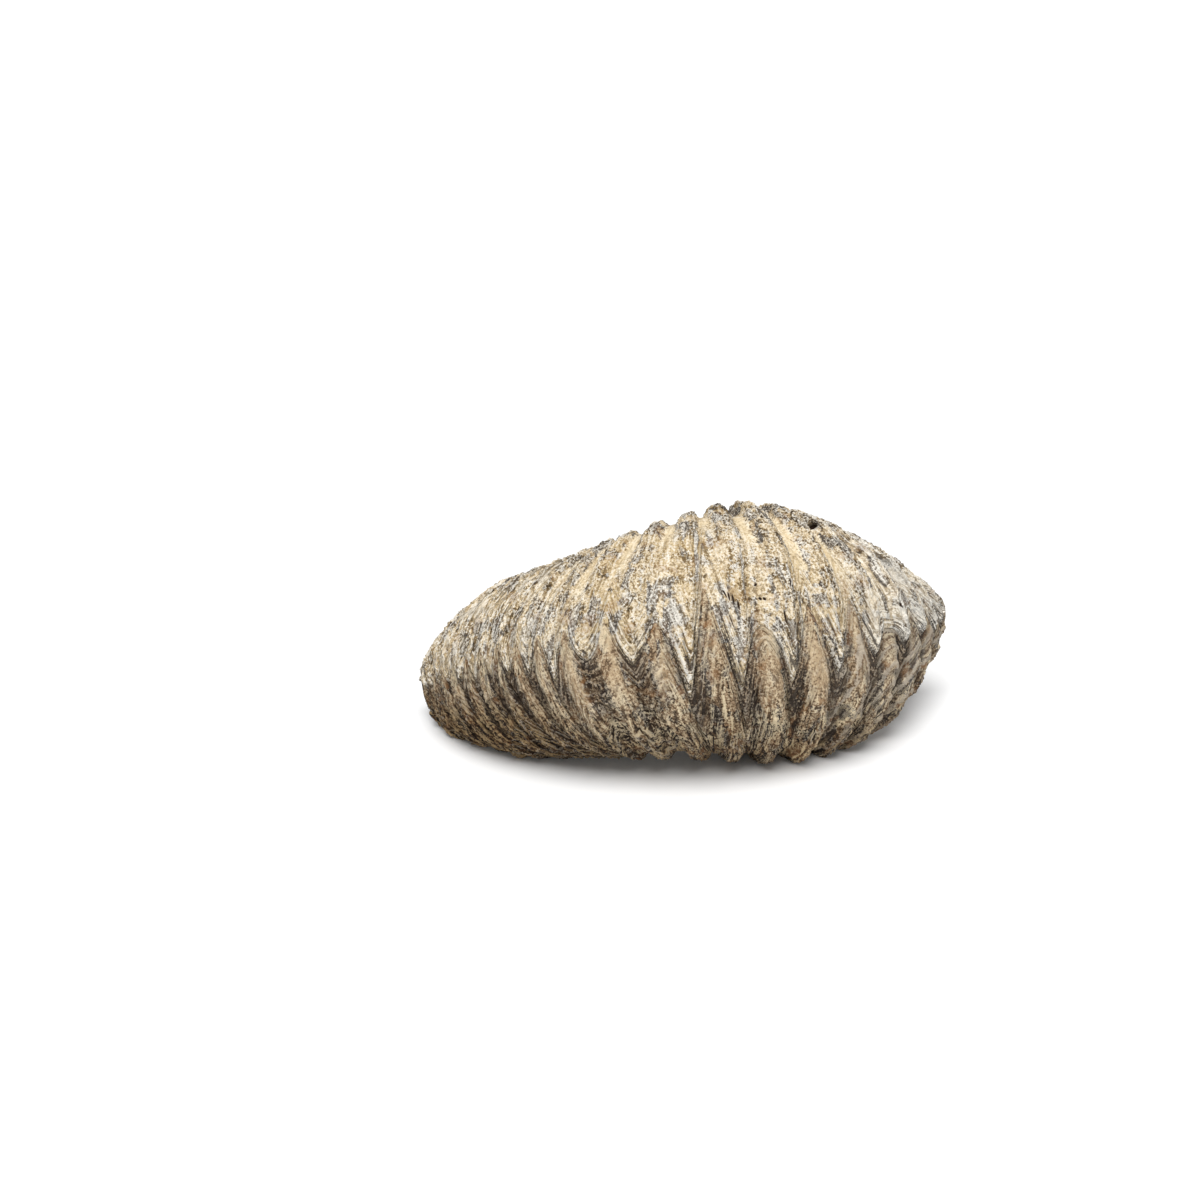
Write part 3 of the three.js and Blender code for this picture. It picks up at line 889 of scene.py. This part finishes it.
def sediment_share(m, s, upper):
    """How much of the shell is covered by smooth sediment, from 0 to 1."""
    place = (s.rib - SEDIMENT_FROM) / (SEDIMENT_TO - SEDIMENT_FROM)
    supply = m.line(UPPER_SEDIMENT if upper else LOWER_SEDIMENT, place)
    limit = m.line(UPPER_SEDIMENT_START if upper else LOWER_SEDIMENT_STOP, place)
    ragged = 0.1 * s.middling + 0.08 * s.even
    if upper:
        bottom = m.ease(1 - s.whole + ragged, 0.66, 0.9)
        reach = m.ease(s.grown + 3 * s.middling - limit, -5, 4)
        reach = reach * m.ease(-s.grown + 3 * s.middling, -37, -28)
    else:
        bottom = m.ease(1 - s.whole + ragged, 0.5, 0.85)
        reach = m.ease(limit - s.grown + 2 * s.middling, -4, 4)
        reach = reach * m.ease(s.grown + 4 * s.slow + 3 * s.middling, 0, 5)
    return bottom * reach * supply


def sediment_colour(m, s, tone, upper):
    sand = m.mix(m.ease(-s.streak, 0.0, 1.2) * 0.4, tone["smooth"], tone["smooth shade"])
    if not upper:
        sand = m.mix(m.ease(-s.grown, -9, -1) * 0.5, sand, paint(PALE["smooth"]))
    sand = m.mix(m.ease(-s.grain, 0.3, 1.0) * (0.3 if upper else 0.55), sand, tone["brown"])
    return m.mix(m.ease(s.grain, 0.5, 1.2) * 0.3, sand, tone["grain"])


print("furrows with a sediment of their own:", len(UPPER_SEDIMENT), "and", len(LOWER_SEDIMENT))

# %% [markdown]
# ### Rough rib tops
#
# Between the furrows the shell itself shows: cream or brown, with grey shell in streaks along the
# border of the sediment. Pits hold dirt, grains stand out pale. Each layer is mixed over the last
# one by a grain and by a zone that says where such marks crowd together.

# %% The rough shell
RUST_SIZE = 4.5


def grey_streaks(m, s, upper):
    """The border between furrow and rib top, and how much grey shell shows."""
    broken = m.ease(1.2 * s.middling + 0.3 * s.streak + 0.4 * s.even, -0.6, 0.5)
    border = (1 - m.smaller(abs(s.whole - 0.4) / 0.36, 1)) * (1 - 0.9 * s.worn) * broken
    greying = 0.35 * m.ease(s.grown, 16, 30) * (1 - s.right_end) if upper else 0.15 * s.right_end
    grey = m.ease(border + 0.7 * s.streak + 0.5 * s.middling + greying, 0.3, 0.95)
    return border, grey


def ground_colour(m, s, tone, grey, upper):
    warmth = m.ease(s.slow + 0.5 * s.middling, -0.4, 0.8)
    ground = m.mix(warmth, tone["ground"], tone["second ground"])
    ground = m.mix(s.right_end * 0.7, ground, tone["weathered"])
    ground = m.mix(grey * 0.75, ground, tone["grey"])
    if not upper:
        # Painted shade: the furrows of the lower valve are darkened, as if in shadow.
        painted_furrow_shade = m.ease(s.whole + 0.35 * s.streak, 0.35, 1.0)
        ground = m.mix(painted_furrow_shade * 0.6, ground, tone["painted shade"])
    return ground


def grained_colour(m, s, tone, ground, grey, upper):
    """Brown dirt, dark pits and pale grains over the ground."""
    dense = m.ease(0.7 * s.middling + 0.5 * s.streak + 0.8 * (s.whole - 0.5), -0.7, 0.8)
    if upper:
        dense = dense * m.ease(s.edge + 2 * s.middling, -2, 10) + 0.25
        crown = m.ease(s.grown, 15, 28) * s.whole
        cluster = m.ease(s.middling + 0.6 * s.streak + 0.7 * crown, -0.1, 0.7) * (1 - 0.8 * s.worn)
        ground = m.mix(0.45 * cluster, ground, tone["brown"])
        pitted = m.between(0.3, 1, cluster)
    else:
        pitted = m.between(0.6, 1, dense)
    browned = m.between(0.5, 1, dense) * (1 - 0.6 * grey) * (1 - 0.3 * s.right_end)
    pitted = pitted * (1 - 0.3 * grey) * (1 - 0.25 * s.right_end)
    rough = m.mix(m.ease(-s.grain, 0.0, 0.5) * browned, ground, tone["brown"])
    rough = m.mix(m.ease(-s.grain, 0.35, 0.9) * pitted, rough, tone["pit"])
    return m.mix(m.ease(s.grain, 0.25, 0.85) * (0.6 + 0.3 * s.mottle), rough, tone["grain"])


def streaked_colour(m, s, tone, rough, border, grey, upper):
    """Thin lines, flecks and rust over the grains, and calmer patches at the narrow end."""
    rough = m.mix(grey * m.ease(-s.along - 0.5 * s.even, 0.2, 0.9) * 0.7, rough, tone["dark grey"])
    rough = m.mix(m.ease(s.growth_line, 0.4, 1.0) * border * 0.6, rough, tone["dark grey"])
    # Pale lines on the rib borders: partly the shell's pale lamellae, partly painted highlight on the
    # rib edges.
    bare = m.larger(0.7 * s.right_end, 0.5 * s.fine_left)
    white_line_and_highlight = m.ease(s.along + 0.4 * s.even, 0.4, 0.95) * m.larger(border, bare)
    rough = m.mix(white_line_and_highlight * 0.75, rough, tone["rim"])
    pale_share = 0.25 + 0.55 * s.fine_left
    rough = m.mix(m.ease(s.flecks, 0.55, 0.95) * pale_share, rough, tone["grain"])
    dark_share = 0.2 + 0.5 * s.fine_left
    rough = m.mix(m.ease(-s.flecks, 0.55, 0.95) * dark_share, rough, tone["pit"])
    rust = m.ease(m.swing(s.at, RUST_SIZE, Detail=3.0), 0.8, 1.3)
    rough = m.mix(rust * (0.25 if upper else 0.5), rough, tone["rust"])
    calm = m.ease(s.slow + 0.6 * s.middling, 0.0, 0.9) * s.fine_left
    return m.mix(calm * (0.4 if upper else 0.2), rough, tone["ground"])


print("rust patches about", RUST_SIZE, "mm wide")

# %% [markdown]
# ### Marks of the lower valve
#
# Below every tooth of the upper valve the lower one is rough and nearly black, its narrow end has
# painted highlights on the crests between furrows darkened with painted shade, and its right half
# carries raised growth rings with painted shade in their hollows and painted highlights on their
# ridges. Painted shade darkens the valve towards its underside. These marks belong to one valve
# only, so they come after the layers that both valves share.

# %% Marks of the lower valve
STROKE_SIZE = (0.75, 2.4)


def mark_lower_teeth(m, s, tone, colour):
    """Coarse pale glints and black grain on the teeth, and near-black speckle below the upper ones."""
    low = m.ease(s.grown, 5, 18) * (1 - 0.4 * s.right_end)
    stroke = m.drawn(s.across, s.edge, STROKE_SIZE, 11, Detail=2.0, Roughness=0.6)
    layer_patch = m.ease(s.middling + 0.6 * s.slow, -0.5, 0.5)
    coarse = m.between(stroke, 1.2 * s.layered, layer_patch) + 0.35 * s.grain
    glint = m.ease(coarse + 0.3 * s.middling, 0.3, 0.75) * low
    colour = m.mix(glint * 0.9, colour, tone["glint"])
    dark_grain = m.ease(-coarse + 0.2 * s.middling, 0.2, 0.6) * low
    colour = m.mix(dark_grain * 0.85, colour, tone["pit"])
    under_tip = m.ease(s.whole, 0.4, 0.95) * m.ease(-s.grown + 3 * s.middling, -15, -4)
    blackened = m.mix(m.ease(s.grain, 0.1, 0.8), tone["pit"], tone["second ground"])
    return m.mix(under_tip * 0.7, colour, blackened)


def mark_narrow_end(m, s, tone, colour):
    """Painted shade in the furrows and painted highlights on the crests at the narrow left end."""
    # Painted shade: the furrows at the narrow end are darkened further.
    painted_furrow_shade = m.ease(s.whole + 0.2 * s.streak, 0.45, 0.95) * s.fine_left * m.ease(s.grown, 2, 8)
    colour = m.mix(painted_furrow_shade * 0.7, colour, tone["painted shade"])
    # Painted highlight: the crests between the furrows at the narrow end are lightened, as if lit.
    crest = m.ease(-s.whole + 0.3 * s.streak + 0.3 * s.along, -0.3, 0.1) * s.fine_left
    crest = crest * m.ease(-s.grown, -18, -6) * m.ease(s.flecks + s.middling, -0.5, 0.4)
    return m.mix(crest * 0.6, colour, tone["glint"])


def mark_rings(m, s, tone, colour):
    """Painted grey shade in the hollows of the growth rings, painted highlights on their ridges, and
    painted shade over the underside.
    """
    ring = m.attribute("ring")
    ringed = m.ease(s.rib, *RINGED_RIBS) * m.ease(s.grown + s.middling, 1, 5)
    # Painted shade: the hollows between the growth rings are darkened.
    painted_ring_hollow_shade = m.ease(s.whole - ring + 0.3 * s.middling, 0.1, 0.6) * ringed
    colour = m.mix(painted_ring_hollow_shade * 0.65, colour, tone["dark grey"])
    shaded = s.right_end * m.ease(-s.grown, -16, -2)
    colour = m.mix(shaded * 0.15, colour, tone["painted shade"])
    # Painted highlight: the raised ridges of the growth rings are lightened, as if lit.
    painted_ring_ridge_highlight = m.ease(ring + 0.15 * s.even + 0.15 * s.middling, 0.6, 0.9)
    colour = m.mix(painted_ring_ridge_highlight * 0.7, colour, tone["rim"])
    # Painted shade: the lower valve is darkened towards its underside and its narrow end.
    painted_underside_shade = m.ease(s.grown + 12 * s.fine_left, 10, 28) * (0.7 + 0.25 * s.fine_left)
    return m.mix(painted_underside_shade, colour, tone["underside shade"], "MULTIPLY")


print("coarse strokes", STROKE_SIZE[0], "by", STROKE_SIZE[1], "mm")

# %% [markdown]
# ### Marks of the upper valve
#
# At its right end the upper valve has a bare pale patch, where the crust came off, and whitened
# teeth. The patch is an ellipse in growth coordinates with a noisy border.

# %% Marks of the upper valve
SCAR = {"rib": 5.8, "growth": 15, "half width": 3, "half length": 4.5}  # the bare pale patch


def mark_right_end(m, s, tone, colour):
    """The bare patch and the whitened teeth of the upper valve."""
    aside = (s.rib - SCAR["rib"]) * (RIB_TO_MM / SCAR["half width"])
    ahead = (s.grown - SCAR["growth"]) / SCAR["half length"]
    scar = 1 - m.ease(aside**2 + ahead**2 + 0.4 * s.middling, 0.5, 1.3)
    colour = m.mix(scar * 0.5, colour, tone["scar"])
    tooth = m.ease(-s.edge + 2 * s.middling, -9, -3) * s.right_end
    tooth = tooth * m.ease(s.grain + 2 * s.whole, 0.3, 1.6)
    return m.mix(tooth * 0.7, colour, tone["rim"])


print("bare patch:", 2 * SCAR["half width"], "by", 2 * SCAR["half length"], "mm")

# %% [markdown]
# ### Growth lines
#
# Each layer of shell ended at the margin of its day, so thin light and dark lines follow the
# zigzag. They show best close to the margin and in patches further in. The distance from the edge,
# stored on the mesh, is all that they need. Where the two valves meet, the joint is darkened.

# %% Growth lines
LINE_SPACING = 1.6


def draw_growth_lines(m, s, tone, colour, sediment, upper):
    """The colour with its lines, and the lines and the joint that the bump is cut from."""
    band = m.ease(-s.edge, -2.8, -1) * (1 - 0.5 * s.fine_left) * m.ease(s.whole, 0.1, 0.6)
    dark_line = m.ease(-s.layered - 0.5 * s.even, 0.1, 0.7) * band
    colour = m.mix(dark_line * 0.75, colour, tone["dark grey"])
    light_line = m.ease(s.layered + 0.6 * s.even, 0.3, 1.0) * band
    colour = m.mix(light_line * 0.55, colour, tone["rim"])

    patchy = m.ease(s.slow + 0.6 * s.middling, -0.6, 0.6) * (1 - 0.6 * sediment)
    rings = m.math("SINE", (s.edge / LINE_SPACING + 0.3 * s.middling) * (2 * math.pi))
    if upper:
        ring_zone = m.ease(-s.edge, -6, -1.5) * s.whole * patchy
    else:
        ring_zone = m.ease(-s.edge, -30, -20) * patchy * (1 - s.right_end)
        light_ring = m.ease(-rings + 0.5 * s.even, 0.5, 1.1) * ring_zone
        colour = m.mix(light_ring * 0.55, colour, tone["rim"])
    line = m.ease(rings + 0.5 * s.even, 0.5, 1.1) * ring_zone
    colour = m.mix(line * 0.6, colour, tone["pit"])
    seam = m.ease(-s.edge - 0.3 * s.even, -0.5, -0.1) * m.ease(s.whole, 0.1, 0.7)
    return m.mix(seam * 0.5, colour, tone["pit"]), line, seam


print("growth lines every", LINE_SPACING, "mm")

# %% [markdown]
# ### The finish put together
#
# The layers go on in the order in which they came to the shell: shell, dirt and streaks, sediment,
# the marks of one valve, growth lines, and last the borings, which are the same marks that pushed
# the mesh in. The grain also makes a very low bump, since it's too fine for the mesh. Sediment is a
# little smoother than shell.

# %% Put the finish together
BUMP_HEIGHT = {"grain": 0.08, "line": 0.05, "seam": 0.08}  # in mm
SHELL_ROUGHNESS = 0.85
SEDIMENT_SMOOTHING = 0.2
SEDIMENT_COVER = 0.92


def shell_finish(name, upper):
    m = Finish(name)
    palette = {**SHARED, **(PALE if upper else BROWN_AND_SHADED)}
    tone = {part: paint(code) for part, code in palette.items()}
    s = shell_grains(m, upper)
    border, grey = grey_streaks(m, s, upper)
    ground = ground_colour(m, s, tone, grey, upper)
    rough = grained_colour(m, s, tone, ground, grey, upper)
    rough = streaked_colour(m, s, tone, rough, border, grey, upper)
    sediment = sediment_share(m, s, upper)
    colour = m.mix(sediment * SEDIMENT_COVER, rough, sediment_colour(m, s, tone, upper))
    if upper:
        colour = mark_right_end(m, s, tone, colour)
    else:
        colour = mark_lower_teeth(m, s, tone, colour)
        colour = mark_narrow_end(m, s, tone, colour)
        colour = mark_rings(m, s, tone, colour)
    colour, line, seam = draw_growth_lines(m, s, tone, colour, sediment, upper)
    bored, _ = boring_marks(m, s.rib, s.grown, UPPER_BORINGS if upper else LOWER_BORINGS)
    bored = bored * (m.attribute("inside") < 0.001)
    colour = m.mix(bored, colour, tone["boring"])

    height = BUMP_HEIGHT["grain"] * s.grain * (1 - 0.8 * sediment)
    height = height - BUMP_HEIGHT["line"] * line - BUMP_HEIGHT["seam"] * seam
    bump_sockets = {"Height": height, "Distance": 0.001, "Strength": 1.0}
    bump = m.node("ShaderNodeBump", bump_sockets, outs="Normal")
    m.plug(colour, m.shader.inputs["Base Color"])
    m.plug(SHELL_ROUGHNESS - SEDIMENT_SMOOTHING * sediment, m.shader.inputs["Roughness"])
    m.plug(bump, m.shader.inputs["Normal"])
    m.shader.inputs["Specular IOR Level"].default_value = 0.3
    return m.material


upper_finish = shell_finish("pale_weathered_shell", True)
lower_finish = shell_finish("brown_shell_and_painted_shade", False)
for finish in (upper_finish, lower_finish):
    print(finish.name, "has", len(finish.node_tree.nodes), "nodes")

# %% [markdown] ## The two valves  The shell is two pieces that grew against each other, so the tree
# runs twice, once with each side, and the lower valve gets other noise and raised rings. Both
# valves ride on the one body of the frame, since a fossil's halves don't open. The gap between them
# is a hair wide, and in three small places, at the two tips and at one overhanging tooth, they
# overlap.

# %% Build the two valves
def add_object(name, data):
    made = bpy.data.objects.new(name, data)
    bpy.context.scene.collection.objects.link(made)
    return made


def make_valve(name, node, values):
    """Runs the tree, keeps its result as a plain mesh, and hands it to the frame."""
    piece = add_object(name, bpy.data.meshes.new(name))
    modifier = piece.modifiers.new("Valve", "NODES")
    modifier.node_group = tree
    for input_name, value in values.items():
        modifier[tree_inputs[input_name]] = value
    evaluated = piece.evaluated_get(bpy.context.evaluated_depsgraph_get())
    mesh = bpy.data.meshes.new_from_object(evaluated)
    mesh.name = name
    piece.modifiers.clear()
    piece.data = mesh
    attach(piece, "root")
    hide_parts(node)
    return piece


def report_mesh(piece):
    solid = bmesh.new()
    solid.from_mesh(piece.data)
    triangles = sum(len(face.verts) - 2 for face in solid.faces)
    open_edges = sum(not edge.is_manifold for edge in solid.edges)
    volume = solid.calc_volume(signed=True) * 1e6
    solid.free()
    print(piece.name, triangles, "triangles,", open_edges, "open edges,", round(volume, 1), "cm3")


upper_valve = make_valve(
    "shell_upper", "upper_valve", {"Side": 1.0, "Finish": upper_finish}
)
lower_valve = make_valve(
    "shell_lower",
    "lower_valve",
    {"Side": -1.0, "Seed": LOWER_SEED, "Ring Depth": 0.45, "Finish": lower_finish},
)
for valve in (upper_valve, lower_valve):
    report_mesh(valve)

# %% [markdown] ## The floor  The shell lies on plain white paper. A single large square is enough,
# because it reaches far past what the camera sees.

# %% The floor
FLOOR_HALF = 6  # in metres
PAPER_WHITE = 0.9
floor_corners = [(x * FLOOR_HALF, y * FLOOR_HALF, 0) for x, y in [(-1, -1), (1, -1), (1, 1), (-1, 1)]]
floor_mesh = bpy.data.meshes.new("floor")
floor_mesh.from_pydata(floor_corners, [], [(0, 1, 2, 3)])
floor = add_object("floor", floor_mesh)
paper = bpy.data.materials.new("white_paper")
paper.use_nodes = True
paper_shader = paper.node_tree.nodes["Principled BSDF"]
paper_shader.inputs["Base Color"].default_value = (PAPER_WHITE, PAPER_WHITE, PAPER_WHITE, 1)
paper_shader.inputs["Roughness"].default_value = 1.0
floor_mesh.materials.append(paper)
print("floor:", 2 * FLOOR_HALF, "m square")

# %% [markdown]
# ## The light
#
# Ribs and teeth read by their shadows, so most of the light comes from above and a little from
# the front. A sun lamp with a wide angle gives the soft shadows of a large softbox without having
# to be placed and sized. A dim white world fills the furrows.

# %% The light
SKY_STRENGTH = 0.4
SOFTBOX_STRENGTH = 3.1
SOFTBOX_ANGLE = 40  # degrees that it spans as seen from the shell
SOFTBOX_DIRECTION = (0.02, 0.4, -1)  # the way its light travels
world = bpy.data.worlds.new("studio")
world.use_nodes = True
sky = world.node_tree.nodes["Background"]
sky.inputs["Color"].default_value = (1, 1, 1, 1)
sky.inputs["Strength"].default_value = SKY_STRENGTH
bpy.context.scene.world = world
bpy.context.scene.view_settings.view_transform = "Standard"

lamp = bpy.data.lights.new("big_softbox", "SUN")
lamp.energy = SOFTBOX_STRENGTH
lamp.angle = math.radians(SOFTBOX_ANGLE)
softbox = add_object("big_softbox", lamp)
softbox.rotation_euler = Vector(SOFTBOX_DIRECTION).to_track_quat("-Z", "Y").to_euler()
print("lamp", round(lamp.energy, 2), "and sky", SKY_STRENGTH)

# %% [markdown]
# ## The camera
#
# The camera looks down at the shell by about 23 degrees, from the side of the zigzag margin, with
# an ordinary 50 mm lens. It's rolled by 2 degrees, so the shell seems to lie level. It is placed by
# what it aims at, how far off it stands and how far down it looks, which is easier to adjust than
# three coordinates and three angles.

# %% The camera
CAMERA_AIM = Vector((-0.01892, 0.00932, 0.03322))
CAMERA_DISTANCE = 0.375
CAMERA_DOWN = math.radians(23.1)
CAMERA_ASIDE = math.radians(0.8)
CAMERA_ROLL = math.radians(-1.95)
camera_data = bpy.data.cameras.new("camera")
camera_data.lens = 50
camera_data.sensor_width = 36
camera_data.clip_start = 0.01
camera = add_object("camera", camera_data)
level = Vector((-math.sin(CAMERA_ASIDE), math.cos(CAMERA_ASIDE), 0))
forward = math.cos(CAMERA_DOWN) * level - Vector((0, 0, math.sin(CAMERA_DOWN)))
camera.location = CAMERA_AIM - CAMERA_DISTANCE * forward
upright = forward.to_track_quat("-Z", "Y")
camera.rotation_euler = (upright @ Quaternion((0, 0, 1), CAMERA_ROLL)).to_euler()
bpy.context.scene.camera = camera
print("camera", round(CAMERA_DISTANCE, 3), "m away, at", [round(x, 3) for x in camera.location])

# %% [markdown] ## Sizes The finished valves have to agree with the packed solids,
# because both stand for the same fossil.
